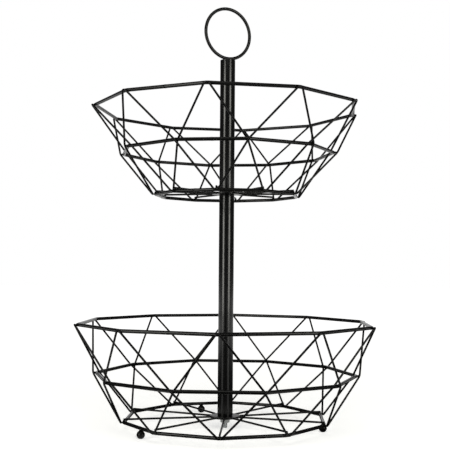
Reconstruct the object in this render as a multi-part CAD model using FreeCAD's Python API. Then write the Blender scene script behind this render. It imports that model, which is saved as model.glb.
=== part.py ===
"""Two-tier wire basket: bent and welded wire bowls on a screwed tube post with a ring handle.

Millimetres. +Z is up, the origin is on the post's axis at the level the feet stand on, and one
corner of the lower basket points to -Y. Angles count from -Y towards +X.
"""
import FreeCAD
import Part
import math
import os
from dataclasses import dataclass

Vector = FreeCAD.Vector

# Wire stock, and the radius of each kind of bend on the wire's centre line
RING_WIRE = 3.4
LATTICE_WIRE = 2.0
SPOKE_WIRE = 2.0
RING_BEND = 5.0
CROWN_BEND = 3.0
KINK_BEND = 12.0
WELD_GAP = 0.3          # room for weld metal between two wires
BUTT_GAP = 0.1          # room for weld metal where a wire's end is butted against something

# Corners of a basket: a lattice wire turns back over at every second one, top and bottom
CROWN_COUNT = 5
SIDE_COUNT = 2 * CROWN_COUNT
STEP = 360.0 / SIDE_COUNT

# Lower basket: radius out to the ring corners, and heights above its base ring
LOWER_RIM_RADIUS = 147.25
LOWER_MIDDLE_RADIUS = 130.0
LOWER_BASE_RADIUS = 101.5
LOWER_MIDDLE_RISE = 43.75
LOWER_RIM_RISE = 94.75

# Upper basket, which stands a little turned against the lower one
UPPER_RIM_RADIUS = 132.75
UPPER_MIDDLE_RADIUS = 107.0
UPPER_BASE_RADIUS = 72.0
UPPER_MIDDLE_RISE = 42.8
UPPER_RIM_RISE = 87.3
UPPER_TURN = -5.2

# Ball feet under the lower base ring, with a small flat worn on the bottom of each
FOOT_DIAMETER = 8.0
FOOT_FLAT_DEPTH = 0.3
FOOT_TURN_SHARES = (0.232, 0.551, 0.856)

# Hub plate in the floor of each basket, and the spokes that carry it
HUB_DIAMETER = 30.0
HUB_THICKNESS = 2.0
HUB_LIFT = 3.1          # top of the plate above the middle of the base ring's wire
SPOKE_REACH = 0.5       # how far a spoke runs past the middle of the base ring's wire

# Post: two tubes, with threaded inserts and a top plug fixed in their ends
POST_DIAMETER = 15.2
POST_WALL = 1.2
LOWER_POST_LENGTH = 221.0
UPPER_POST_LENGTH = 135.0
INSERT_LENGTH = 14.0
PLUG_LENGTH = 6.0
FIT_GAP = 0.05          # round a part that is pressed or screwed in

# Studs, washer and nut
STUD_DIAMETER = 5.0
STUD_GRIP = 10.0        # length of a stud inside an insert
STUD_REACH = 10.2       # length of the base stud below the lower hub plate
HOLE_CLEARANCE = 0.3    # round a stud that passes through a plate or washer
WASHER_DIAMETER = 10.0
WASHER_THICKNESS = 1.0
NUT_ACROSS_FLATS = 8.0
NUT_HEIGHT = 4.0
NUT_CHAMFER = 0.45
NUT_SIDES = 6
NUT_TURN_SHARE = 0.5    # of the angle between two corners, so that a flat faces -Y

# Ring handle welded to the top of the post
HANDLE_RADIUS = 25.5
HANDLE_WIRE = 3.3
HANDLE_TURN = 32.0      # of the ring's face, from -Y towards +X

# Rounds of correction that bring a bent wire through its weld points
SETTLE_ROUNDS = 12

# Heights of the stack, from the feet up
LOWER_BASE_HEIGHT = FOOT_DIAMETER - FOOT_FLAT_DEPTH + WELD_GAP + RING_WIRE / 2
LOWER_HUB_TOP = LOWER_BASE_HEIGHT + HUB_LIFT
UPPER_HUB_BOTTOM = LOWER_HUB_TOP + LOWER_POST_LENGTH
UPPER_HUB_TOP = UPPER_HUB_BOTTOM + HUB_THICKNESS
POST_TOP = UPPER_HUB_TOP + UPPER_POST_LENGTH


@dataclass
class Tier:
    """Sizes of one basket: ring corner radii, ring heights and its turn about the post."""

    rim_radius: float
    middle_radius: float
    base_radius: float
    rim_height: float
    middle_height: float
    base_height: float
    turn: float


def make_tier(radii, hub_top, middle_rise, rim_rise, turn):
    """Tier of the given rim, middle and base radii, hung from the top of its hub plate."""
    base_height = hub_top - HUB_LIFT
    return Tier(*radii, base_height + rim_rise, base_height + middle_rise, base_height, turn)


LOWER = make_tier(
    (LOWER_RIM_RADIUS, LOWER_MIDDLE_RADIUS, LOWER_BASE_RADIUS),
    LOWER_HUB_TOP, LOWER_MIDDLE_RISE, LOWER_RIM_RISE, 0,
)
UPPER = make_tier(
    (UPPER_RIM_RADIUS, UPPER_MIDDLE_RADIUS, UPPER_BASE_RADIUS),
    UPPER_HUB_TOP, UPPER_MIDDLE_RISE, UPPER_RIM_RISE, UPPER_TURN,
)


def polar(radius, degrees, height):
    """Point at a radius and a height, its angle counted from -Y towards +X."""
    angle = math.radians(degrees)
    return Vector(radius * math.sin(angle), -radius * math.cos(angle), height)


def bend(before, corner, after, radius):
    """First, middle and last point of the arc that rounds one corner of a path."""
    to_before = (before - corner).normalize()
    to_after = (after - corner).normalize()
    half = to_before.getAngle(to_after) / 2
    inward = (to_before + to_after).normalize()
    run = radius / math.tan(half)
    middle = corner + inward * (radius / math.sin(half) - radius)
    return corner + to_before * run, middle, corner + to_after * run


def settled_corners(passes, bends):
    """Corners of a path round the basket whose rounded bends touch the given points."""
    corners = list(passes)
    count = len(corners)
    for _ in range(SETTLE_ROUNDS):
        middles = [
            bend(corners[i - 1], corners[i], corners[(i + 1) % count], bends[i])[1]
            for i in range(count)
        ]
        corners = [corner + point - middle for corner, point, middle in zip(corners, passes, middles)]
    return corners


def bent_wire(passes, bends, diameter, gap):
    """Round wire bent through points round the basket, ending a gap short of where it starts."""
    corners = settled_corners(passes, bends)
    count = len(corners)
    start = (corners[-1] + corners[0]) * 0.5
    edges = []
    here = start
    for i, radius in enumerate(bends):
        first, middle, last = bend(corners[i - 1], corners[i], corners[(i + 1) % count], radius)
        edges.append(Part.LineSegment(here, first).toShape())
        edges.append(Part.Arc(first, middle, last).toShape())
        here = last
    along = (start - here).normalize()
    edges.append(Part.LineSegment(here, start - along * gap).toShape())
    section = Part.Wire([Part.makeCircle(diameter / 2, start, along)])
    return Part.Wire(edges).makePipeShell([section], True, False)


def ring(corner_radius, height, turn):
    """Closed ring of flat sides with bent corners."""
    passes = [polar(corner_radius, turn + k * STEP, height) for k in range(SIDE_COUNT)]
    return bent_wire(passes, [RING_BEND] * SIDE_COUNT, RING_WIRE, 0)


def lattice_wire(tier, first_corner, middle_side):
    """Zigzag wire that runs rim, middle, base, middle and so on all round the basket.

    It is welded outside the rim and the base ring, and inside (-1) or outside (+1) the middle ring.
    """
    beside = (RING_WIRE + LATTICE_WIRE) / 2 + WELD_GAP
    run = (tier.rim_radius - tier.base_radius) * math.cos(math.radians(STEP / 2))
    rise = tier.rim_height - tier.base_height
    rim = tier.rim_radius + beside
    middle = tier.middle_radius + middle_side * beside * math.hypot(run, rise) / rise
    base = tier.base_radius + beside
    passes = []
    for k in range(SIDE_COUNT):
        angle = tier.turn + (first_corner + k) * STEP
        if k % 2 == 0:
            passes.append(polar(rim, angle, tier.rim_height))
        else:
            passes.append(polar(base, angle, tier.base_height))
        passes.append(polar(middle, angle + STEP / 2, tier.middle_height))
    return bent_wire(passes, [CROWN_BEND, KINK_BEND] * SIDE_COUNT, LATTICE_WIRE, BUTT_GAP)


def spoke(tier, hub_top, corner):
    """Straight wire from the edge of the hub plate to the top of one corner of the base ring."""
    angle = tier.turn + corner * STEP
    outer_height = tier.base_height + (RING_WIRE + SPOKE_WIRE) / 2 + WELD_GAP
    inner = polar(HUB_DIAMETER / 2 + BUTT_GAP, angle, hub_top - HUB_THICKNESS / 2)
    outer = polar(tier.base_radius + SPOKE_REACH, angle, outer_height)
    run = outer - inner
    return Part.makeCylinder(SPOKE_WIRE / 2, run.Length, inner, run)


def tube(outer, inner, bottom, top):
    """Upright round tube, disc or washer on the post's axis, from its two diameters."""
    foot = Vector(0, 0, bottom)
    body = Part.makeCylinder(outer / 2, top - bottom, foot)
    return body.cut(Part.makeCylinder(inner / 2, top - bottom, foot))


def rod(diameter, bottom, top):
    """Upright round rod on the post's axis."""
    return Part.makeCylinder(diameter / 2, top - bottom, Vector(0, 0, bottom))


def insert(bottom):
    """Threaded insert that fills the end of a post tube."""
    outer = POST_DIAMETER - 2 * POST_WALL - 2 * FIT_GAP
    return tube(outer, STUD_DIAMETER + 2 * FIT_GAP, bottom, bottom + INSERT_LENGTH)


def foot(turn_share):
    """Ball foot under the base ring, flat where it stands."""
    angle = 360.0 * turn_share
    off_corner = (angle + STEP / 2) % STEP - STEP / 2
    off_flat = STEP / 2 - abs(off_corner)
    flat_radius = LOWER_BASE_RADIUS * math.cos(math.radians(STEP / 2))
    radius = flat_radius / math.cos(math.radians(off_flat))
    middle = polar(radius, angle, FOOT_DIAMETER / 2 - FOOT_FLAT_DEPTH)
    ball = Part.makeSphere(FOOT_DIAMETER / 2, middle)
    corner = Vector(middle.x - FOOT_DIAMETER, middle.y - FOOT_DIAMETER, -FOOT_DIAMETER)
    below = Part.makeBox(2 * FOOT_DIAMETER, 2 * FOOT_DIAMETER, FOOT_DIAMETER, corner)
    return ball.cut(below)


def nut(top):
    """Hexagon nut with both ends chamfered at its corners."""
    bottom = top - NUT_HEIGHT
    corner_radius = NUT_ACROSS_FLATS / 2 / math.cos(math.pi / NUT_SIDES)
    turns = [360.0 * (k + NUT_TURN_SHARE) / NUT_SIDES for k in range(NUT_SIDES + 1)]
    corners = [polar(corner_radius, turn, bottom) for turn in turns]
    hexagon = Part.Face(Part.makePolygon(corners)).extrude(Vector(0, 0, NUT_HEIGHT))
    outline = [
        Vector(0, 0, bottom),
        Vector(corner_radius - NUT_CHAMFER, 0, bottom),
        Vector(corner_radius, 0, bottom + NUT_CHAMFER),
        Vector(corner_radius, 0, top - NUT_CHAMFER),
        Vector(corner_radius - NUT_CHAMFER, 0, top),
        Vector(0, 0, top),
        Vector(0, 0, bottom),
    ]
    barrel = Part.Face(Part.makePolygon(outline)).revolve(Vector(), Vector(0, 0, 1), 360)
    return hexagon.common(barrel).cut(rod(STUD_DIAMETER + 2 * FIT_GAP, bottom, top))


def handle():
    """Round ring that stands on edge on the post's top."""
    middle = Vector(0, 0, POST_TOP + WELD_GAP + HANDLE_WIRE / 2 + HANDLE_RADIUS)
    facing = polar(HANDLE_RADIUS, HANDLE_TURN, 0)
    return Part.makeTorus(HANDLE_RADIUS, HANDLE_WIRE / 2, middle, facing)


def basket(name, tier, hub_top):
    """Pieces of one basket by name: rings, lattice wires, spokes and hub plate."""
    pieces = {
        f"{name}_rim_ring": ring(tier.rim_radius, tier.rim_height, tier.turn),
        f"{name}_middle_ring": ring(tier.middle_radius, tier.middle_height, tier.turn + STEP / 2),
        f"{name}_base_ring": ring(tier.base_radius, tier.base_height, tier.turn),
        f"{name}_inner_lattice_wire": lattice_wire(tier, 0, -1),
        f"{name}_outer_lattice_wire": lattice_wire(tier, 1, 1),
        f"{name}_hub_plate": tube(
            HUB_DIAMETER, STUD_DIAMETER + 2 * HOLE_CLEARANCE, hub_top - HUB_THICKNESS, hub_top
        ),
    }
    for k in range(SIDE_COUNT):
        pieces[f"{name}_spoke_{k + 1:02d}"] = spoke(tier, hub_top, k)
    return pieces


def post():
    """Pieces of the post by name, from the base nut up to the ring handle."""
    bore = POST_DIAMETER - 2 * POST_WALL
    washer_top = LOWER_HUB_TOP - HUB_THICKNESS
    nut_top = washer_top - WASHER_THICKNESS
    hole = STUD_DIAMETER + 2 * HOLE_CLEARANCE
    return {
        "base_nut": nut(nut_top),
        "base_washer": tube(WASHER_DIAMETER, hole, nut_top, washer_top),
        "base_stud": rod(STUD_DIAMETER, washer_top - STUD_REACH, LOWER_HUB_TOP + STUD_GRIP),
        "lower_post_foot_insert": insert(LOWER_HUB_TOP),
        "lower_post_tube": tube(POST_DIAMETER, bore, LOWER_HUB_TOP, UPPER_HUB_BOTTOM),
        "lower_post_head_insert": insert(UPPER_HUB_BOTTOM - INSERT_LENGTH),
        "joining_stud": rod(STUD_DIAMETER, UPPER_HUB_BOTTOM - STUD_GRIP, UPPER_HUB_TOP + STUD_GRIP),
        "upper_post_foot_insert": insert(UPPER_HUB_TOP),
        "upper_post_tube": tube(POST_DIAMETER, bore, UPPER_HUB_TOP, POST_TOP),
        "post_top_plug": rod(bore - 2 * FIT_GAP, POST_TOP - PLUG_LENGTH, POST_TOP),
        "handle_ring": handle(),
    }


def main():
    """Build every piece and write it under its own name."""
    pieces = basket("lower", LOWER, LOWER_HUB_TOP)
    pieces.update(basket("upper", UPPER, UPPER_HUB_TOP))
    pieces.update(post())
    for k, turn_share in enumerate(FOOT_TURN_SHARES):
        pieces[f"ball_foot_{k + 1}"] = foot(turn_share)
    os.makedirs("parts", exist_ok=True)
    for name, shape in pieces.items():
        shape.exportStep(f"parts/{name}.step")
        print(f"{name}: {shape.Volume:.1f} mm3, {len(shape.Solids)} solid, valid {shape.isValid()}")


main()
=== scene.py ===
"""Looks of a two-tier wire basket: coated wire bowls on a tube post, with a ring handle and ball feet.

Metres, in the frame of the solids: +Z is up, the post stands on the Z axis and the feet on Z = 0. Angles
round the post count in degrees from -Y towards +X. Sizes are read from the boxes of the solids. What a box
can't show, such as a bend's radius or a weld bead, is a field of the class that makes it.
"""

import logging
import math
import random
from collections.abc import Callable, Sequence
from dataclasses import dataclass, field
from enum import Enum
from typing import Protocol

import bmesh
import bpy
from mathutils import Matrix, Vector


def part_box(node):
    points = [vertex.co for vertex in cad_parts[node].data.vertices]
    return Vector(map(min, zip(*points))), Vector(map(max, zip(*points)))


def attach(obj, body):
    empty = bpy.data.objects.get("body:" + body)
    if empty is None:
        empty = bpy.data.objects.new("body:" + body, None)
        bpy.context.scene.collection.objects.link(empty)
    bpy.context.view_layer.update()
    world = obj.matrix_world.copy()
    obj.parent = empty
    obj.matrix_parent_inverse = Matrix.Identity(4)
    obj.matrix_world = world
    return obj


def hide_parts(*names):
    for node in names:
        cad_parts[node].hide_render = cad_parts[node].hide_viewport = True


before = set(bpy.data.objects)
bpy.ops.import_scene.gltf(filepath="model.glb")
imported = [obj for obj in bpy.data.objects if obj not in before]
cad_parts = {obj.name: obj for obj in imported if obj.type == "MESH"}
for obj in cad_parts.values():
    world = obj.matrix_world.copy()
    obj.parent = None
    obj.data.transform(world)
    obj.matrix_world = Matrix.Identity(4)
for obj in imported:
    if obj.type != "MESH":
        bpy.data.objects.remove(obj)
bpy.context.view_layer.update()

MM = 0.001
SIDES = 10                  # flat sides of every ring
STEP = 360.0 / SIDES
UP = Vector((0, 0, 1))
MERGE_REACH = 1e-7          # points closer than this are one point
SHARP_ANGLE = math.radians(28)
UPPER_TURN = -5.2           # of the upper basket against the lower one

log = logging.getLogger("wire_basket")

Profile = list[tuple[float, float]]
Triple = tuple[float, float, float]
Tree = bpy.types.NodeTree
Socket = bpy.types.NodeSocket


class Slot(Enum):
    """Finish slots of the record."""

    RING_WIRE = "black_coated_ring_wire"
    THIN_WIRE = "black_coated_thin_wire"
    POST = "black_coated_post"
    HUB_PLATE = "black_coated_hub_plate"
    BALL_FOOT = "black_coated_ball_foot"
    ZINC = "zinc_plated_steel"
    TURNED = "turned_steel_insert"


class Body(Enum):
    """Bodies of the assembly that move by themselves."""

    LOWER_BASKET = "lower_basket"
    UPPER_BASKET = "upper_basket"
    UPPER_POST = "upper_post"
    WASHER = "base_washer"
    NUT = "base_nut"


class Pass(Enum):
    """Side of the middle ring on which a lattice wire passes."""

    INSIDE = -1
    OUTSIDE = 1


def linear(colour: str) -> tuple[float, float, float, float]:
    """Turns an sRGB hex colour into linear light.

    Args:
        colour: hex colour such as "#1A1A1B".

    Returns:
        Red, green, blue and an alpha of 1.
    """
    shares = [int(colour[i:i + 2], 16) / 255 for i in (1, 3, 5)]
    light = [s / 12.92 if s <= 0.04045 else ((s + 0.055) / 1.055) ** 2.4 for s in shares]
    return (*light, 1.0)


def per_metre(spacing_mm: float) -> float:
    """Scale of a pattern that repeats about every so many millimetres."""
    return 1 / (spacing_mm * MM)


def add_node(
    tree: Tree, kind: str, settings: dict | None = None, links: dict | None = None
) -> bpy.types.Node:
    """Adds one shader node with its settings and links.

    Args:
        tree: node tree that takes the node.
        kind: type name of the node, without the ShaderNode at its start.
        settings: values by property name, or by name or number of an input socket.
        links: output sockets by name or number of the input socket that they feed.

    Returns:
        The new node.
    """
    node = tree.nodes.new(f"ShaderNode{kind}")
    for key, value in (settings or {}).items():
        if isinstance(key, str) and hasattr(node, key):
            setattr(node, key, value)
        else:
            node.inputs[key].default_value = value
    for key, source in (links or {}).items():
        tree.links.new(source, node.inputs[key])
    return node


def new_material(name: str) -> tuple[bpy.types.Material, Tree, Socket]:
    """Makes a material whose node tree holds no shader yet.

    Args:
        name: the material's name.

    Returns:
        The material, its node tree and the position on the piece.
    """
    material = bpy.data.materials.new(name)
    material.use_nodes = True
    tree = material.node_tree
    tree.nodes.clear()
    return material, tree, add_node(tree, "TexCoord").outputs["Object"]


class Finish(Protocol):
    """A finish that can be put on a piece."""

    def material(self) -> bpy.types.Material:
        """Makes the finish's material."""


@dataclass(frozen=True)
class PowderCoat:
    """Satin black polyester powder, sprayed on blasted steel and stoved.

    The eye gets a deep neutral black with soft highlights. The melted powder levels to a faint orange peel
    that breaks a highlight's edges, matting agents leave a fine grain, and the coat is a little duller
    where it lies thin.
    """

    name: str
    colour: str = "#060606"
    thin_colour: str = "#0B0B0B"
    scuff_colour: str = "#5A5957"
    ior: float = 1.45               # bare resin has 1.5; the matted skin mirrors less, most so on thin wire
    roughness: float = 0.16
    thin_roughness: float = 0.24
    peel_mm: float = 2.6
    peel_height_mm: float = 0.007
    grain_mm: float = 0.5           # real grain is 0.1 mm, drawn coarser so that it shows
    grain_height_mm: float = 0.0008
    patch_mm: float = 18.0
    scuff_reach_mm: float = 0.0     # height above the table up to which the coat is scuffed

    def material(self) -> bpy.types.Material:
        """Makes the coat's material.

        Returns:
            Material with orange peel, grain and thin patches.
        """
        material, tree, place = new_material(self.name)
        peel, grain, patches = [
            add_node(tree, "TexNoise", {"Scale": per_metre(size)}, {"Vector": place})
            for size in (self.peel_mm, self.grain_mm, self.patch_mm)
        ]
        levelled = add_node(
            tree, "Bump", {"Distance": self.peel_height_mm * MM}, {"Height": peel.outputs[0]}
        )
        grained = add_node(
            tree, "Bump", {"Distance": self.grain_height_mm * MM},
            {"Height": grain.outputs[0], "Normal": levelled.outputs[0]},
        )
        dullness = add_node(
            tree, "MapRange",
            {"To Min": self.roughness, "To Max": self.thin_roughness}, {"Value": patches.outputs[0]},
        )
        colour = add_node(
            tree, "Mix",
            {"data_type": "RGBA", 6: linear(self.colour), 7: linear(self.thin_colour)},
            {0: patches.outputs[0]},
        ).outputs[2]
        if self.scuff_reach_mm:
            colour = self.scuffed(tree, place, grain.outputs[0], colour)
        shader = add_node(
            tree, "BsdfPrincipled", {"IOR": self.ior},
            {"Base Color": colour, "Roughness": dullness.outputs[0], "Normal": grained.outputs[0]},
        )
        add_node(tree, "OutputMaterial", links={"Surface": shader.outputs[0]})
        return material

    def scuffed(self, tree: Tree, place: Socket, grain: Socket, colour: Socket) -> Socket:
        """Rubs the coat grey where it meets the table.

        Args:
            tree: node tree of the coat.
            place: position on the piece.
            grain: grain of the coat, which breaks the scuff's edge.
            colour: colour of the coat where it is whole.

        Returns:
            Colour with the scuff in it.
        """
        height = add_node(tree, "SeparateXYZ", links={0: place}).outputs["Z"]
        bared = add_node(
            tree, "MapRange", {"From Min": self.scuff_reach_mm * MM, "From Max": 0.0}, {"Value": height}
        )
        broken = add_node(tree, "Math", {"operation": "MULTIPLY"}, {0: bared.outputs[0], 1: grain})
        return add_node(
            tree, "Mix", {"data_type": "RGBA", 7: linear(self.scuff_colour)},
            {0: broken.outputs[0], 6: colour},
        ).outputs[2]


@dataclass(frozen=True)
class ZincPlate:
    """Bright zinc, barrel-plated on steel hardware and passivated clear.

    The eye gets a light grey, slightly blue metal with soft reflections, cloudy patches where the pieces
    rubbed against each other in the barrel, and a fine tumbled grain.
    """

    name: str = "zinc_plated_steel_barrel_tumbled"
    colour: str = "#D6D8DA"
    cloud_colour: str = "#AEB0B2"
    roughness: float = 0.12
    cloud_roughness: float = 0.28
    cloud_mm: float = 2.5
    grain_mm: float = 0.3           # real grain is under 0.1 mm, drawn coarser so that it shows
    grain_height_mm: float = 0.003

    def material(self) -> bpy.types.Material:
        """Makes the plate's material.

        Returns:
            Material with cloudy patches and a tumbled grain.
        """
        material, tree, place = new_material(self.name)
        clouds, grain = [
            add_node(tree, "TexNoise", {"Scale": per_metre(size)}, {"Vector": place})
            for size in (self.cloud_mm, self.grain_mm)
        ]
        tumbled = add_node(
            tree, "Bump", {"Distance": self.grain_height_mm * MM}, {"Height": grain.outputs[0]}
        )
        colour = add_node(
            tree, "Mix",
            {"data_type": "RGBA", 6: linear(self.colour), 7: linear(self.cloud_colour)},
            {0: clouds.outputs[0]},
        )
        dullness = add_node(
            tree, "MapRange", {"To Min": self.roughness, "To Max": self.cloud_roughness},
            {"Value": clouds.outputs[0]},
        )
        shader = add_node(
            tree, "BsdfPrincipled", {"Metallic": 1.0},
            {
                "Base Color": colour.outputs[2], "Roughness": dullness.outputs[0],
                "Normal": tumbled.outputs[0],
            },
        )
        add_node(tree, "OutputMaterial", links={"Surface": shader.outputs[0]})
        return material


@dataclass(frozen=True)
class TurnedSteel:
    """Free-cutting steel turned on a lathe and left bare.

    The eye gets a mid-grey metal ringed by fine tool marks that stretch its highlights along the axis.
    """

    name: str = "free_cutting_steel_turned"
    colour: str = "#8D8C89"
    oiled_colour: str = "#6F6D69"
    roughness: float = 0.34
    feed_mm: float = 0.4            # a real feed is 0.15 mm, drawn coarser so that it shows
    groove_height_mm: float = 0.006
    chatter: float = 0.4            # how far the tool marks waver
    stain_mm: float = 4.0

    def material(self) -> bpy.types.Material:
        """Makes the steel's material.

        Returns:
            Material with tool marks and oil stains.
        """
        material, tree, place = new_material(self.name)
        grooves = add_node(
            tree, "TexWave",
            {
                "bands_direction": "Z", "Scale": per_metre(self.feed_mm) / math.tau,
                "Distortion": self.chatter,
            },
            {"Vector": place},
        )
        stains = add_node(tree, "TexNoise", {"Scale": per_metre(self.stain_mm)}, {"Vector": place})
        ringed = add_node(
            tree, "Bump", {"Distance": self.groove_height_mm * MM}, {"Height": grooves.outputs[1]}
        )
        colour = add_node(
            tree, "Mix",
            {"data_type": "RGBA", 6: linear(self.colour), 7: linear(self.oiled_colour)},
            {0: stains.outputs[0]},
        )
        shader = add_node(
            tree, "BsdfPrincipled", {"Metallic": 1.0, "Roughness": self.roughness},
            {"Base Color": colour.outputs[2], "Normal": ringed.outputs[0]},
        )
        add_node(tree, "OutputMaterial", links={"Surface": shader.outputs[0]})
        return material


@dataclass(frozen=True)
class PaperSweep:
    """Matt white background paper, unrolled as a studio floor.

    The eye gets an even white that only the object's soft shadow dims. Camera rays see a glow on top of the
    lit paper, which grows with the distance from the object as the lamps' light falls off. Other rays find
    the white beside and behind the object. In front of it the paper's colour is painted shade, dark for
    every ray but the camera's, but for two painted streaks of lamplight, which mirror rays also see as
    glow, and a painted lit patch under the post.
    """

    name: str = "white_paper_sweep"
    colour: str = "#F2F2F0"
    # painted shade: colour of the paper in front of the object for every ray but the camera's
    painted_shade_colour: str = "#4A4A4A"
    near_glow: float = 0.58
    far_glow: float = 0.92
    near_radius: float = 0.1
    far_radius: float = 1.6
    backdrop: tuple[float, float] = (0.3, 0.7)      # way aside or behind, from the painted shade to the white
    painted_lamp_streak: tuple[float, float] = (0.3, 0.15)       # way off a painted streak of lamplight, in shares of the way out, likewise
    painted_lit_patch: tuple[float, float] = (0.09, 0.06)       # way out from the post, from the painted shade to the painted lit patch
    tooth_mm: float = 3.0           # real paper tooth is 0.2 mm, drawn coarser so that it shows
    tooth_height_mm: float = 0.02

    def material(self) -> bpy.types.Material:
        """Makes the paper's material.

        Returns:
            Material with the paper's tooth, its glow and its shade.
        """
        material, tree, place = new_material(self.name)
        tooth = add_node(tree, "TexNoise", {"Scale": per_metre(self.tooth_mm)}, {"Vector": place})
        rough = add_node(tree, "Bump", {"Distance": self.tooth_height_mm * MM}, {"Height": tooth.outputs[0]})
        away = add_node(tree, "VectorMath", {"operation": "LENGTH"}, {0: place}).outputs["Value"]
        level = add_node(
            tree, "MapRange",
            {"From Min": self.near_radius, "From Max": self.far_radius, "To Min": self.near_glow,
             "To Max": self.far_glow},
            {"Value": away},
        )
        along = add_node(tree, "SeparateXYZ", links={0: place}).outputs
        aside = add_node(tree, "Math", {"operation": "ABSOLUTE"}, {0: along["X"]}).outputs[0]
        ahead = add_node(tree, "Math", {"operation": "MAXIMUM"}, {0: aside, 1: along["Y"]})
        # Each painted streak of lamplight runs to the front at 45 degrees, where the ways aside and forward
        # are equal
        off = add_node(tree, "Math", {"operation": "ADD"}, {0: aside, 1: along["Y"]})
        share_off = add_node(tree, "Math", {"operation": "DIVIDE"}, {0: off.outputs[0], 1: away})
        off_painted_lamp_streak = add_node(tree, "Math", {"operation": "ABSOLUTE"}, {0: share_off.outputs[0]})
        # Painted light: masks of the streaks of lamplight and of the lit patch under the post
        painted_lamp_streak, painted_lit_patch = [
            add_node(tree, "MapRange", {"From Min": start, "From Max": end}, {"Value": way})
            for (start, end), way in ((self.painted_lamp_streak, off_painted_lamp_streak.outputs[0]), (self.painted_lit_patch, away))
        ]
        # Share of the white glow for mirror rays: the backdrop beside and behind, and the painted streaks of
        # lamplight
        share = add_node(
            tree, "Math", {"operation": "MAXIMUM"},
            {0: backdrop_share(tree, ahead.outputs[0], *self.backdrop), 1: painted_lamp_streak.outputs[0]},
        )
        # Painted lit patch: under the post the paper keeps its white colour inside the painted shade
        painted_light_share = add_node(
            tree, "Math", {"operation": "MAXIMUM"}, {0: share.outputs[0], 1: painted_lit_patch.outputs[0]}
        )
        # Painted shade: every ray but the camera's finds the paper dark in front, except where painted light
        # lifts it
        painted_shade_tone = add_node(
            tree, "Mix",
            {"data_type": "RGBA", 6: linear(self.painted_shade_colour), 7: linear(self.colour)},
            {0: painted_light_share.outputs[0]},
        )
        lit = add_node(tree, "BsdfDiffuse", links={"Color": painted_shade_tone.outputs[2], "Normal": rough.outputs[0]})
        white = add_node(tree, "Math", {"operation": "MULTIPLY"}, {0: share.outputs[0], 1: level.outputs[0]})
        seen = add_node(
            tree, "Math", {"operation": "MULTIPLY"}, {0: seen_directly(tree), 1: white.outputs[0]}
        )
        glow = add_node(tree, "Emission", links={"Strength": seen.outputs[0]})
        both = add_node(tree, "AddShader", links={0: lit.outputs[0], 1: glow.outputs[0]})
        add_node(tree, "OutputMaterial", links={"Surface": both.outputs[0]})
        return material


def seen_directly(tree: Tree) -> Socket:
    """Tells the rays that show the background from those that light the object.

    Args:
        tree: node tree of the floor or the world.

    Returns:
        Socket that is 1 for camera, mirror and see-through rays, and 0 for the rest.
    """
    path = add_node(tree, "LightPath").outputs
    seen = path["Is Camera Ray"]
    for ray in ("Is Glossy Ray", "Is Transmission Ray"):
        either = add_node(tree, "Math", {"operation": "MAXIMUM"}, {0: seen, 1: path[ray]})
        seen = either.outputs[0]
    return seen


def backdrop_share(tree: Tree, ahead: Socket, start: float, end: float, rest: float = 0.0) -> Socket:
    """Finds how much of the white background a ray shows.

    Args:
        tree: node tree of the floor or the world.
        ahead: what grows towards the backdrop behind the object.
        start: value of it up to which a mirror ray shows the rest.
        end: value of it from which a mirror ray shows the white.
        rest: how bright the rest is, where white is 1.

    Returns:
        Socket that is 1 for every camera ray, and for a mirror ray between the rest and 1.
    """
    mirrored = add_node(
        tree, "MapRange", {"From Min": start, "From Max": end, "To Min": rest}, {"Value": ahead}
    )
    share = add_node(
        tree, "Math", {"operation": "MAXIMUM"},
        {0: add_node(tree, "LightPath").outputs["Is Camera Ray"], 1: mirrored.outputs[0]},
    )
    return share.outputs[0]


def polar(radius: float, degrees: float, height: float) -> Vector:
    """Point at a radius, an angle and a height round the post."""
    angle = math.radians(degrees)
    return Vector((radius * math.sin(angle), -radius * math.cos(angle), height))


def outward(point: Vector) -> Vector:
    """Level direction from the post's axis out to a point."""
    return Vector((point.x, point.y, 0)).normalized()


def bend_points(before: Vector, corner: Vector, after: Vector, radius: float, pieces: int) -> list[Vector]:
    """Points along the arc that rounds one corner of a path.

    Args:
        before: corner before this one.
        corner: corner to round.
        after: corner after this one.
        radius: radius of the arc.
        pieces: number of equal pieces of the arc.

    Returns:
        Points from the arc's first to its last, one more than its pieces.
    """
    to_before = (before - corner).normalized()
    to_after = (after - corner).normalized()
    half = to_before.angle(to_after) / 2
    inward = (to_before + to_after).normalized()
    across = (to_before - to_after).normalized()
    centre = corner + inward * (radius / math.sin(half))
    reach = math.pi / 2 - half
    turns = [reach * (1 - 2 * i / pieces) for i in range(pieces + 1)]
    return [centre + radius * (across * math.sin(turn) - inward * math.cos(turn)) for turn in turns]


def rounded(corners: Profile, radius: float, closed: bool = True, pieces: int = 4) -> Profile:
    """Profile with its corners rounded.

    Args:
        corners: radius and height of each corner, in order.
        radius: radius of the rounding.
        closed: whether the last corner joins the first one; else these two stay as they are.
        pieces: number of pieces of each arc.

    Returns:
        Radius and height of each point of the rounded profile.
    """
    points = [Vector((r, 0, z)) for r, z in corners]
    profile = []
    for i, point in enumerate(points):
        arc = [point]
        if closed or 0 < i < len(points) - 1:
            arc = bend_points(points[i - 1], point, points[(i + 1) % len(points)], radius, pieces)
        profile.extend((p.x, p.z) for p in arc)
    return profile


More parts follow.
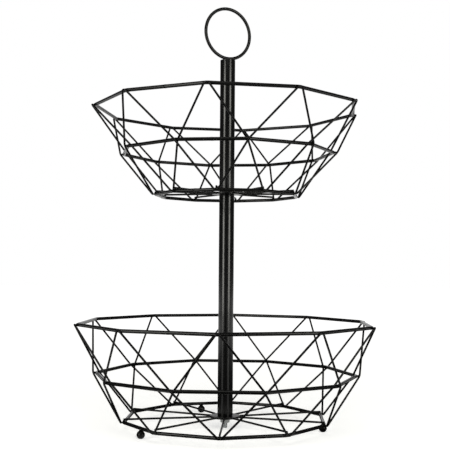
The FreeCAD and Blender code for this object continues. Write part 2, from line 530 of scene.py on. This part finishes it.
@dataclass
class Shell:
    """Points and faces of one piece while it is being made."""

    points: list[Vector] = field(default_factory=list)
    faces: list[tuple[int, ...]] = field(default_factory=list)
    bead_rows: int = 8
    bead_sides: int = 14
    bead_unevenness: float = 0.07       # share of a bead's size by which its skin wavers

    def add_loop(self, points: Sequence[Vector]) -> list[int]:
        """Adds a closed loop of points.

        Args:
            points: points of the loop, in order round it.

        Returns:
            Their numbers in the shell.
        """
        first = len(self.points)
        self.points.extend(points)
        return list(range(first, len(self.points)))

    def skin(self, loops: Sequence[list[int]], closed: bool = False) -> None:
        """Joins loops of equal length with faces.

        Args:
            loops: numbers of each loop's points, in order along the piece.
            closed: whether the last loop joins the first one.
        """
        pairs = list(zip(loops, loops[1:]))
        if closed:
            pairs.append((loops[-1], loops[0]))
        for one, two in pairs:
            for i in range(len(one)):
                j = (i + 1) % len(one)
                self.faces.append((one[i], one[j], two[j], two[i]))

    def sweep(
        self, path: Sequence[tuple[Vector, float]], sides: int, sideways: Callable[[Vector], Vector],
        closed: bool,
    ) -> None:
        """Adds a round wire along a path.

        Args:
            path: points of the wire's middle line, each with the wire's radius there.
            sides: number of points round the wire.
            sideways: direction at a point that is never along the wire.
            closed: whether the wire's end meets its start.
        """
        loops = []
        last = len(path) - 1
        for i, (point, radius) in enumerate(path):
            before = path[i - 1 if closed else max(i - 1, 0)][0]
            after = path[(i + 1) % len(path) if closed else min(i + 1, last)][0]
            along = (after - before).normalized()
            side = sideways(point)
            first = (side - along * side.dot(along)).normalized()
            second = along.cross(first)
            turns = [math.tau * k / sides for k in range(sides)]
            loops.append(self.add_loop(
                [point + radius * (first * math.cos(turn) + second * math.sin(turn)) for turn in turns]
            ))
        self.skin(loops, closed)

    def turn(self, profile: Profile, middle: Vector, sides: int, closed: bool) -> None:
        """Adds a piece turned about an upright axis.

        Args:
            profile: radius and height of each point of its section.
            middle: point on the axis at the profile's zero height.
            sides: number of points round the axis.
            closed: whether the section is a closed loop clear of the axis.
        """
        loops = [
            self.add_loop([middle + polar(radius, 360 * k / sides, height) for k in range(sides)])
            for radius, height in profile
        ]
        self.skin(loops, closed)

    def bead(self, middle: Vector, reach: tuple[Vector, Vector, Vector], draw: random.Random) -> None:
        """Adds one weld bead, an uneven flattened ball of metal.

        Args:
            middle: middle of the bead.
            reach: its half lengths along three directions at right angles.
            draw: source of its unevenness.
        """
        loops = []
        for row in range(self.bead_rows + 1):
            tilt = math.pi * row / self.bead_rows
            ring = []
            for k in range(self.bead_sides):
                turn = math.tau * k / self.bead_sides
                flat = reach[0] * math.cos(turn) + reach[1] * math.sin(turn)
                swell = 1 + draw.uniform(-self.bead_unevenness, self.bead_unevenness) * math.sin(tilt)
                ring.append(middle + (flat * math.sin(tilt) + reach[2] * math.cos(tilt)) * swell)
            loops.append(self.add_loop(ring))
        self.skin(loops)

    def finish(self, name: str) -> bpy.types.Object:
        """Closes the shell and puts it in the scene.

        Args:
            name: name of the piece.

        Returns:
            The piece, smooth but for its sharp edges.
        """
        mesh = bpy.data.meshes.new(name)
        mesh.from_pydata(self.points, [], self.faces)
        work = bmesh.new()
        work.from_mesh(mesh)
        bmesh.ops.remove_doubles(work, verts=work.verts, dist=MERGE_REACH)
        bmesh.ops.holes_fill(work, edges=work.edges)
        bmesh.ops.recalc_face_normals(work, faces=work.faces)
        work.to_mesh(mesh)
        work.free()
        mesh.shade_smooth()
        mesh.set_sharp_from_angle(angle=SHARP_ANGLE)
        piece = bpy.data.objects.new(name, mesh)
        bpy.context.scene.collection.objects.link(piece)
        return piece


def turned_shell(node: str, hole: float, edge: float, points: int) -> Shell:
    """Shape of a tube, plate, washer or plug round the post's axis, with its edges rounded.

    Args:
        node: solid that it stands for.
        hole: radius of its hole, or 0 where it has none.
        edge: radius of its edges.
        points: number of points round the axis.

    Returns:
        Shape of the piece.
    """
    low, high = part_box(node)
    radius = (high.x - low.x) / 2
    corners = [(hole, low.z), (radius, low.z), (radius, high.z), (hole, high.z)]
    shell = Shell()
    shell.turn(rounded(corners, edge, closed=hole > 0), Vector(), points, closed=hole > 0)
    return shell


@dataclass
class Bench:
    """Where shells become pieces that ride a body and wear a finish."""

    finishes: dict[Slot, Finish]
    materials: dict[Slot, bpy.types.Material] = field(default_factory=dict)

    def material(self, slot: Slot) -> bpy.types.Material:
        """Finds the material of a slot, which is made when it is first asked for.

        Args:
            slot: slot of the finish.

        Returns:
            The slot's material.
        """
        if slot not in self.materials:
            self.materials[slot] = self.finishes[slot].material()
        return self.materials[slot]

    def piece(self, shell: Shell, name: str, body: Body, slot: Slot, *nodes: str) -> None:
        """Makes a piece of a shell and dresses it.

        Args:
            shell: shape of the piece.
            name: name of the piece.
            body: body that it rides.
            slot: slot of its finish.
            nodes: solids that it stands for.
        """
        piece = shell.finish(name)
        piece.data.materials.append(self.material(slot))
        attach(piece, body.value)
        if nodes:
            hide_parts(*nodes)
        log.info("%s: %d faces, rides %s", name, len(piece.data.polygons), body.value)

    def dress_solid(self, node: str, slot: Slot) -> None:
        """Dresses a solid that is shown as it is.

        Args:
            node: name of the solid.
            slot: slot of its finish.
        """
        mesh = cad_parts[node].data
        mesh.materials.clear()
        mesh.materials.append(self.material(slot))
        log.info("%s: solid kept", node)


@dataclass
class BentWire:
    """Round wire bent through weld points all round a basket, its ends butt-welded together."""

    passes: list[Vector]
    bends: list[float]
    diameter: float
    arc_pieces: int = 8
    settle_rounds: int = 12
    butt_reach: float = 2.0 * MM
    butt_swell_share: float = 0.06
    butt_form: tuple[tuple[float, float], ...] = (      # shares of the reach and of the swell there
        (0.0, 1.0), (0.2, 0.9), (0.45, 0.5), (0.7, 0.15), (1.0, 0.0),
    )

    def corners(self) -> list[Vector]:
        """Finds the corners of the path whose rounded bends touch the weld points.

        Returns:
            Corners in the order of the weld points.
        """
        corners = list(self.passes)
        count = len(corners)
        for _ in range(self.settle_rounds):
            middles = [
                bend_points(corners[i - 1], corners[i], corners[(i + 1) % count], self.bends[i], 2)[1]
                for i in range(count)
            ]
            corners = [
                corner + point - middle for corner, point, middle in zip(corners, self.passes, middles)
            ]
        return corners

    def path(self) -> list[tuple[Vector, float]]:
        """Follows the wire's middle line from the butt weld all the way round.

        Returns:
            Points of the line, each with the wire's radius there.
        """
        corners = self.corners()
        count = len(corners)
        radius = self.diameter / 2
        butt = (corners[-1] + corners[0]) / 2
        along = (corners[0] - corners[-1]).normalized() * self.butt_reach
        widths = [(share, radius * (1 + self.butt_swell_share * swell)) for share, swell in self.butt_form]
        path = [(butt + along * share, width) for share, width in widths]
        for i, bend in enumerate(self.bends):
            arc = bend_points(corners[i - 1], corners[i], corners[(i + 1) % count], bend, self.arc_pieces)
            path.extend((point, radius) for point in arc)
        path.extend((butt - along * share, width) for share, width in reversed(widths[1:]))
        return path

    def shell(self, sides: int) -> Shell:
        """Makes the shape of the wire.

        Args:
            sides: number of points round it.

        Returns:
            Shape of the wire.
        """
        shell = Shell()
        shell.sweep(self.path(), sides, outward, closed=True)
        return shell


@dataclass(frozen=True)
class Ring:
    """Place and sizes of one ring of thick wire."""

    corner_radius: float
    height: float
    wire: float
    turn: float

    @classmethod
    def of_solid(cls, node: str, turn: float, bend: float) -> "Ring":
        """Reads a ring from its solid.

        Args:
            node: name of the solid.
            turn: angle of one of its corners.
            bend: radius of its bent corners.

        Returns:
            The ring.
        """
        low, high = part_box(node)
        wire = high.z - low.z
        off_corner = math.radians((turn + STEP / 2) % STEP - STEP / 2)
        half_depth = (high.y - low.y) / 2
        corner_radius = (half_depth - bend - wire / 2) / math.cos(off_corner) + bend
        return cls(corner_radius, (low.z + high.z) / 2, wire, turn)


@dataclass
class Basket:
    """One welded bowl: three rings, two lattice wires, spokes and a hub plate."""

    name: str
    body: Body
    turn: float
    seed: int
    ring_bend: float = 5.0 * MM
    crown_bend: float = 3.0 * MM
    kink_bend: float = 12.0 * MM
    weld_gap: float = 0.3 * MM
    butt_gap: float = 0.1 * MM
    spoke_wire: float = 2.0 * MM
    spoke_reach: float = 0.5 * MM       # past the middle of the base ring's wire
    cropped_edge: float = 0.3 * MM      # edge of a cut wire end, rounded by the coat
    cropped_pieces: int = 3
    hub_hole: float = 5.6 * MM
    plate_edge: float = 0.35 * MM
    crown_bead: Triple = (1.9 * MM, 0.8 * MM, 0.75 * MM)
    crossing_bead: Triple = (1.35 * MM, 1.2 * MM, 0.75 * MM)
    spoke_bead: Triple = (1.0 * MM, 1.4 * MM, 0.75 * MM)
    hub_bead: Triple = (1.45 * MM, 1.1 * MM, 0.9 * MM)
    ring_points: int = 24
    wire_points: int = 18
    plate_points: int = 72

    def __post_init__(self) -> None:
        """Reads the rings, the lattice wire and the hub plate from their solids."""
        self.rim = Ring.of_solid(f"{self.name}_rim_ring", self.turn, self.ring_bend)
        self.middle = Ring.of_solid(f"{self.name}_middle_ring", self.turn + STEP / 2, self.ring_bend)
        self.base = Ring.of_solid(f"{self.name}_base_ring", self.turn, self.ring_bend)
        crown_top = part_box(f"{self.name}_inner_lattice_wire")[1].z
        self.lattice_wire = 2 * (crown_top - self.rim.height)
        self.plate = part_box(f"{self.name}_hub_plate")

    def ring_shell(self, ring: Ring) -> Shell:
        """Shape of one ring."""
        passes = [polar(ring.corner_radius, ring.turn + k * STEP, ring.height) for k in range(SIDES)]
        return BentWire(passes, [self.ring_bend] * SIDES, ring.wire).shell(self.ring_points)

    def lattice_shell(self, first_corner: int, side: Pass) -> Shell:
        """Shape of one lattice wire, which zigzags from rim to base and back all round the bowl.

        Args:
            first_corner: rim corner where it starts.
            side: side of the middle ring on which it passes.

        Returns:
            Shape of the wire.
        """
        beside = (self.rim.wire + self.lattice_wire) / 2 + self.weld_gap
        run = (self.rim.corner_radius - self.base.corner_radius) * math.cos(math.radians(STEP / 2))
        rise = self.rim.height - self.base.height
        middle = self.middle.corner_radius + side.value * beside * math.hypot(run, rise) / rise
        passes = []
        for k in range(SIDES):
            angle = self.turn + (first_corner + k) * STEP
            if k % 2 == 0:
                passes.append(polar(self.rim.corner_radius + beside, angle, self.rim.height))
            else:
                passes.append(polar(self.base.corner_radius + beside, angle, self.base.height))
            passes.append(polar(middle, angle + STEP / 2, self.middle.height))
        wire = BentWire(passes, [self.crown_bend, self.kink_bend] * SIDES, self.lattice_wire)
        return wire.shell(self.wire_points)

    def spoke_ends(self, corner: int) -> tuple[Vector, Vector]:
        """Finds the ends of the spoke that runs to one corner.

        Args:
            corner: number of the corner.

        Returns:
            Its inner end and its outer end.
        """
        angle = self.turn + corner * STEP
        low, high = self.plate
        above = (self.base.wire + self.spoke_wire) / 2 + self.weld_gap
        inner = polar((high.x - low.x) / 2 + self.butt_gap, angle, (low.z + high.z) / 2)
        outer = polar(self.base.corner_radius + self.spoke_reach, angle, self.base.height + above)
        return inner, outer

    def spoke_shell(self, corner: int) -> Shell:
        """Makes the shape of one spoke, with the edges of its cropped ends rounded.

        Args:
            corner: number of the corner that it runs to.

        Returns:
            Shape of the spoke.
        """
        inner, outer = self.spoke_ends(corner)
        along = (outer - inner).normalized()
        straight = self.spoke_wire / 2 - self.cropped_edge
        turns = [math.pi / 2 * i / self.cropped_pieces for i in range(self.cropped_pieces + 1)]
        end = [
            (self.cropped_edge * (1 - math.cos(turn)), straight + self.cropped_edge * math.sin(turn))
            for turn in turns
        ]
        path = [(inner + along * reach, width) for reach, width in end]
        path += [(outer - along * reach, width) for reach, width in reversed(end)]
        shell = Shell()
        shell.sweep(path, self.wire_points, lambda point: UP, closed=False)
        return shell

    def bead_row(
        self, radius: float, height: float, turn: float, sizes: Triple, thin: Vector | None = None
    ) -> Shell:
        """Weld beads at the same place on every corner.

        Args:
            radius: distance of a bead from the post's axis.
            height: height of a bead.
            turn: angle of the first bead.
            sizes: half lengths of a bead along the ring, across it, and through the joint.
            thin: direction through the joint, or None where that is level and outward.

        Returns:
            Shape of all the beads.
        """
        shell = Shell()
        draw = random.Random(self.seed)
        for k in range(SIDES):
            angle = turn + k * STEP
            out, along = polar(1, angle, 0), polar(1, angle + 90, 0)
            across, through = (UP, out) if thin is None else (out, thin)
            reach = (along * sizes[0], across * sizes[1], through * sizes[2])
            shell.bead(polar(radius, angle, height), reach, draw)
        return shell

    def weld_shells(self) -> dict[str, Shell]:
        """Makes the shapes of the weld beads.

        Returns:
            Shapes by the name of their joint.
        """
        rim, middle, base = self.rim, self.middle, self.base
        low, high = self.plate
        half_ring = (rim.wire + self.weld_gap) / 2
        rise = rim.height - base.height
        aside = half_ring * math.hypot(rim.corner_radius - base.corner_radius, rise) / rise
        rows = {
            "rim_crown_welds": (rim.corner_radius + half_ring, rim.height, rim.turn, self.crown_bead),
            "base_crown_welds": (base.corner_radius + half_ring, base.height, base.turn, self.crown_bead),
            "inner_crossing_welds": (
                middle.corner_radius - aside, middle.height, middle.turn, self.crossing_bead
            ),
            "outer_crossing_welds": (
                middle.corner_radius + aside, middle.height, middle.turn, self.crossing_bead
            ),
            "spoke_end_welds": (base.corner_radius, base.height + half_ring, base.turn, self.spoke_bead, UP),
            "hub_welds": ((high.x - low.x) / 2, (low.z + high.z) / 2, self.turn, self.hub_bead),
        }
        return {joint: self.bead_row(*row) for joint, row in rows.items()}

    def build(self, bench: Bench) -> None:
        """Makes and dresses every piece of the basket.

        Args:
            bench: where the pieces are dressed.
        """
        name, body = self.name, self.body
        for part, ring in (("rim", self.rim), ("middle", self.middle), ("base", self.base)):
            node = f"{name}_{part}_ring"
            bench.piece(self.ring_shell(ring), f"{node}_coated", body, Slot.RING_WIRE, node)
        for part, corner, side in (("inner", 0, Pass.INSIDE), ("outer", 1, Pass.OUTSIDE)):
            node = f"{name}_{part}_lattice_wire"
            bench.piece(self.lattice_shell(corner, side), f"{node}_coated", body, Slot.THIN_WIRE, node)
        for corner in range(SIDES):
            node = f"{name}_spoke_{corner + 1:02d}"
            bench.piece(self.spoke_shell(corner), f"{node}_coated", body, Slot.THIN_WIRE, node)
        node = f"{name}_hub_plate"
        plate = turned_shell(node, self.hub_hole / 2, self.plate_edge, self.plate_points)
        bench.piece(plate, f"{node}_coated", body, Slot.HUB_PLATE, node)
        for joint, shell in self.weld_shells().items():
            bench.piece(shell, f"{name}_{joint}", body, Slot.THIN_WIRE)


@dataclass
class Post:
    """Two coated tubes, one on each hub plate, and the plug that closes the top."""

    wall: float = 1.2 * MM
    tube_edge: float = 0.3 * MM
    plug_edge: float = 0.25 * MM
    points: int = 96

    def build(self, bench: Bench) -> None:
        """Makes and dresses every piece of the post.

        Args:
            bench: where the pieces are dressed.
        """
        for node, body in (("lower_post_tube", Body.LOWER_BASKET), ("upper_post_tube", Body.UPPER_POST)):
            low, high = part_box(node)
            tube = turned_shell(node, (high.x - low.x) / 2 - self.wall, self.tube_edge, self.points)
            bench.piece(tube, f"{node}_coated", body, Slot.POST, node)
        plug = turned_shell("post_top_plug", 0, self.plug_edge, self.points)
        bench.piece(plug, "post_top_plug_coated", Body.UPPER_POST, Slot.POST, "post_top_plug")
        for node in ("lower_post_foot_insert", "lower_post_head_insert", "upper_post_foot_insert"):
            bench.dress_solid(node, Slot.TURNED)
        bench.dress_solid("joining_stud", Slot.ZINC)


@dataclass
class Handle:
    """Round ring of thick wire, welded on edge to the post's top."""

    turn: float = 32.0          # direction of the ring's face
    weld: Triple = (5.2 * MM, 2.7 * MM, 1.3 * MM)
    path_points: int = 120
    wire_points: int = 24
    seed: int = 5

    def build(self, bench: Bench) -> None:
        """Makes and dresses the ring and its weld.

        Args:
            bench: where the pieces are dressed.
        """
        low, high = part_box("handle_ring")
        width, height = high.x - low.x, high.z - low.z
        radius = (height - width) / 2 / (1 - math.cos(math.radians(self.turn)))
        wire = height / 2 - radius
        middle = Vector((0, 0, (low.z + high.z) / 2))
        facing, level = polar(1, self.turn, 0), polar(1, self.turn + 90, 0)
        turns = [math.tau * k / self.path_points for k in range(self.path_points)]
        path = [(middle + radius * (level * math.sin(t) - UP * math.cos(t)), wire) for t in turns]
        ring = Shell()
        ring.sweep(path, self.wire_points, lambda point: facing, closed=True)
        bench.piece(ring, "handle_ring_coated", Body.UPPER_POST, Slot.RING_WIRE, "handle_ring")
        post_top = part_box("post_top_plug")[1].z
        along, across, up = self.weld
        weld = Shell()
        reach = (level * along, facing * across, UP * up)
        weld.bead(Vector((0, 0, post_top)), reach, random.Random(self.seed))
        bench.piece(weld, "handle_weld", Body.UPPER_POST, Slot.RING_WIRE)


@dataclass
class Feet:
    """Three steel balls welded under the lower base ring, each worn flat where it stands."""

    count: int = 3
    weld: Triple = (2.1 * MM, 1.6 * MM, 0.8 * MM)
    rows: int = 28
    points: int = 48
    seed: int = 9

    def build(self, bench: Bench) -> None:
        """Makes and dresses the balls and their welds.

        Args:
            bench: where the pieces are dressed.
        """
        draw = random.Random(self.seed)
        welds = Shell()
        for k in range(self.count):
            node = f"ball_foot_{k + 1}"
            low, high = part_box(node)
            radius = (high.x - low.x) / 2
            stand = (low + high) / 2
            stand.z = 0
            middle = high.z - radius
            start = math.asin((low.z - middle) / radius)
            tilts = [start + (math.pi / 2 - start) * row / self.rows for row in range(self.rows + 1)]
            profile = [(radius * math.cos(tilt), middle + radius * math.sin(tilt)) for tilt in tilts]
            ball = Shell()
            ball.turn(profile, stand, self.points, closed=False)
            bench.piece(ball, f"{node}_coated", Body.LOWER_BASKET, Slot.BALL_FOOT, node)
            out = outward(stand)
            along, across, up = self.weld
            reach = (UP.cross(out) * along, out * across, UP * up)
            welds.bead(Vector((stand.x, stand.y, high.z)), reach, draw)
        bench.piece(welds, "ball_foot_welds", Body.LOWER_BASKET, Slot.BALL_FOOT)


@dataclass
class BaseHardware:
    """Stud, washer and hexagon nut that clamp the lower basket to the post."""

    pitch: float = 0.8 * MM
    thread_depth: float = 0.49 * MM
    root_shares: tuple[float, float] = (0.125, 0.875)       # of the pitch, where the flanks start and end
    crest_shares: tuple[float, float] = (0.4375, 0.5625)    # of the pitch, between which the crest is flat
    thread_points: int = 40
    washer_hole: float = 5.6 * MM
    washer_edge: float = 0.2 * MM
    nut_bore: float = 5.1 * MM
    countersink: float = 0.4 * MM
    nut_sides: int = 6
    chamfer_share: float = 0.96         # of the width across flats
    chamfer_slope: float = math.tan(math.radians(30))
    points_per_flat: int = 10
    points: int = 64

    def stud_shell(self) -> Shell:
        """Makes the shape of the base stud with its helical thread.

        Returns:
            Shape of the stud.
        """
        low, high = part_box("base_stud")
        crest = (high.x - low.x) / 2
        root = crest - self.thread_depth
        section = [
            (self.root_shares[0], root), (self.crest_shares[0], crest), (self.crest_shares[1], crest),
            (self.root_shares[1], root),
        ]
        turns = math.ceil((high.z - low.z) / self.pitch) + 1
        shell = Shell()
        columns = []
        for j in range(self.thread_points):
            column = []
            for turn in range(-1, turns):
                for share, radius in section:
                    height = low.z + (turn + share + j / self.thread_points) * self.pitch
                    height = min(max(height, low.z), high.z)
                    near_end = min(height - low.z, high.z - height)
                    width = min(radius, root - self.thread_depth / 2 + near_end)
                    column.append(polar(width, -360 * j / self.thread_points, height))
            columns.append(shell.add_loop(column))
        for j, column in enumerate(columns):
            following = columns[(j + 1) % len(columns)]
            lead = len(section) if j == len(columns) - 1 else 0
            for i in range(len(column) - 1 - lead):
                shell.faces.append((column[i + lead], column[i + lead + 1], following[i + 1], following[i]))
        return shell

    def nut_shell(self) -> Shell:
        """Makes the shape of the nut, with both ends turned to a cone that cuts its corners.

        Returns:
            Shape of the nut.
        """
        low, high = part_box("base_nut")
        inscribed = (high.y - low.y) / 2
        bore = self.nut_bore / 2
        cone = inscribed * self.chamfer_share
        count = self.nut_sides * self.points_per_flat
        angles = [360 * k / count for k in range(count)]
        flat = 360 / self.nut_sides
        off_flat = [math.radians((a + flat / 2) % flat - flat / 2) for a in angles]
        hexagon = [inscribed / math.cos(off) for off in off_flat]
        drop = [(radius - cone) * self.chamfer_slope for radius in hexagon]
        sunk = bore + self.countersink
        half = [[(bore, self.countersink)] * count, [(sunk, 0)] * count, [(cone, 0)] * count]
        half.append(list(zip(hexagon, drop)))
        loops = [[polar(r, a, low.z + d) for a, (r, d) in zip(angles, loop)] for loop in half]
        loops += [[polar(r, a, high.z - d) for a, (r, d) in zip(angles, loop)] for loop in reversed(half)]
        shell = Shell()
        shell.skin([shell.add_loop(loop) for loop in loops], closed=True)
        return shell

    def build(self, bench: Bench) -> None:
        """Makes and dresses the stud, the washer and the nut.

        Args:
            bench: where the pieces are dressed.
        """
        bench.piece(self.stud_shell(), "base_stud_threaded", Body.LOWER_BASKET, Slot.ZINC, "base_stud")
        washer = turned_shell("base_washer", self.washer_hole / 2, self.washer_edge, self.points)
        bench.piece(washer, "base_washer_plated", Body.WASHER, Slot.ZINC, "base_washer")
        bench.piece(self.nut_shell(), "base_nut_plated", Body.NUT, Slot.ZINC, "base_nut")


@dataclass(frozen=True)
class PhotoCamera:
    """Camera at the photograph's viewing angle, fitted to the corners of the rings.

    Its place is given by its way from the post, its angle round it and its height, and its aim in degrees.
    """

    distance: float = 0.873
    around: float = 2.544
    height: float = 0.1615
    pitch: float = 2.725
    yaw: float = -0.101
    roll: float = 0.456
    focal_px: float = 865.96
    image_px: float = 450.0
    sensor_mm: float = 36.0

    def build(self) -> None:
        """Makes the camera and gives it to the scene."""
        data = bpy.data.cameras.new("photo_camera")
        data.sensor_width = self.sensor_mm
        data.lens = self.focal_px / self.image_px * self.sensor_mm
        camera = bpy.data.objects.new("photo_camera", data)
        pitch, yaw, roll = (math.radians(a) for a in (self.pitch, self.yaw, self.roll))
        ahead = Vector((math.sin(yaw) * math.cos(pitch), math.cos(yaw) * math.cos(pitch), math.sin(pitch)))
        right = Vector((math.cos(yaw), -math.sin(yaw), 0))
        above = right.cross(ahead)
        right, above = (
            right * math.cos(roll) + above * math.sin(roll), above * math.cos(roll) - right * math.sin(roll)
        )
        axes = Matrix((right, above, -ahead)).transposed().to_4x4()
        swing = Matrix.Rotation(math.radians(self.around), 4, "Z")
        camera.matrix_world = (
            Matrix.Translation(polar(self.distance, self.around, self.height)) @ swing @ axes
        )
        bpy.context.scene.collection.objects.link(camera)
        bpy.context.scene.camera = camera


@dataclass(frozen=True)
class SoftBox:
    """One soft studio lamp, a little warm, aimed at the object."""

    name: str
    around: float           # angle round the post
    rise: float             # angle above the level of its target
    distance: float         # from its target
    width: float
    height: float
    brightness: float       # of its face, where white paper in full light is 1
    colour: str = "#FFFFF7"

    def build(self, target: Vector) -> None:
        """Makes the lamp, hidden from the camera.

        Args:
            target: point that it is aimed at.
        """
        data = bpy.data.lights.new(self.name, "AREA")
        data.shape = "RECTANGLE"
        data.size, data.size_y = self.width, self.height
        data.energy = math.pi * self.brightness * self.width * self.height
        data.color = linear(self.colour)[:3]
        lamp = bpy.data.objects.new(self.name, data)
        rise = math.radians(self.rise)
        lamp.location = target + polar(
            self.distance * math.cos(rise), self.around, self.distance * math.sin(rise)
        )
        lamp.rotation_euler = (target - lamp.location).to_track_quat("-Z", "Y").to_euler()
        lamp.visible_camera = False
        bpy.context.scene.collection.objects.link(lamp)


@dataclass(frozen=True)
class Studio:
    """White paper floor, white background and soft lamps, in a room that is dim towards the camera."""

    target: Vector = Vector((0, 0, 0.2))
    colour: str = "#FFFFFF"
    fill: float = 0.15                  # light from all round on the object
    room: float = 0.06                  # what the coat mirrors beside the white background
    backdrop: tuple[float, float] = (0.85, 0.97)    # share of +Y in a direction, from the room to the white
    floor_radius: float = 6.0
    floor_points: int = 64
    lamps: tuple[SoftBox, ...] = (
        SoftBox("left_strip", around=-42.5, rise=11, distance=1.6, width=0.55, height=1.0, brightness=7.5),
        SoftBox("right_strip", around=47.5, rise=11, distance=1.6, width=0.55, height=1.0, brightness=7.5),
        SoftBox(
            "front_overhead_box", around=2.5, rise=52, distance=1.6, width=0.8, height=1.0, brightness=2.5
        ),
    )

    def build(self) -> None:
        """Makes the floor, the world and the lamps."""
        scene = bpy.context.scene
        scene.view_settings.view_transform = "Standard"
        shell = Shell()
        shell.turn([(self.floor_radius, 0)], Vector(), self.floor_points, closed=False)
        shell.faces.append(tuple(range(self.floor_points)))
        floor = shell.finish("paper_floor")
        floor.data.materials.append(PaperSweep().material())
        world = bpy.data.worlds.new("white_studio")
        world.use_nodes = True
        world.node_tree.nodes.clear()
        tree = world.node_tree
        direction = add_node(tree, "TexCoord").outputs["Generated"]
        ahead = add_node(tree, "SeparateXYZ", links={0: direction}).outputs["Y"]
        colour = linear(self.colour)
        fill = add_node(tree, "Background", {"Color": colour, "Strength": self.fill})
        white = add_node(
            tree, "Background", {"Color": colour},
            {"Strength": backdrop_share(tree, ahead, *self.backdrop, self.room)},
        )
        mix = add_node(
            tree, "MixShader", links={0: seen_directly(tree), 1: fill.outputs[0], 2: white.outputs[0]}
        )
        add_node(tree, "OutputWorld", links={"Surface": mix.outputs[0]})
        scene.world = world
        for lamp in self.lamps:
            lamp.build(self.target)


def make_bench() -> Bench:
    """Makes the bench where the pieces are dressed.

    Returns:
        Bench with the finish of every slot.
    """
    return Bench({
        Slot.RING_WIRE: PowderCoat(
            "powder_coat_stoved_on_thick_wire", ior=1.3, roughness=0.2, thin_roughness=0.28
        ),
        Slot.THIN_WIRE: PowderCoat(
            "powder_coat_stoved_on_thin_wire", ior=1.25, roughness=0.24, thin_roughness=0.32
        ),
        Slot.POST: PowderCoat("powder_coat_stoved_on_tube", peel_mm=3.2),
        Slot.HUB_PLATE: PowderCoat(
            "powder_coat_stoved_on_plate", ior=1.3, roughness=0.3, thin_roughness=0.38, peel_mm=3.2
        ),
        Slot.BALL_FOOT: PowderCoat("powder_coat_stoved_on_balls", ior=1.25, scuff_reach_mm=0.5),
        Slot.ZINC: ZincPlate(),
        Slot.TURNED: TurnedSteel(),
    })


def main() -> None:
    """Builds the basket and the studio, in order."""
    logging.basicConfig(level=logging.INFO, format="%(name)s: %(message)s")
    bench = make_bench()
    Basket("lower", Body.LOWER_BASKET, turn=0.0, seed=1).build(bench)
    Basket("upper", Body.UPPER_BASKET, turn=UPPER_TURN, seed=2).build(bench)
    Post().build(bench)
    Handle().build(bench)
    Feet().build(bench)
    BaseHardware().build(bench)
    Studio().build()
    PhotoCamera().build()


if __name__ == "__main__":
    main()
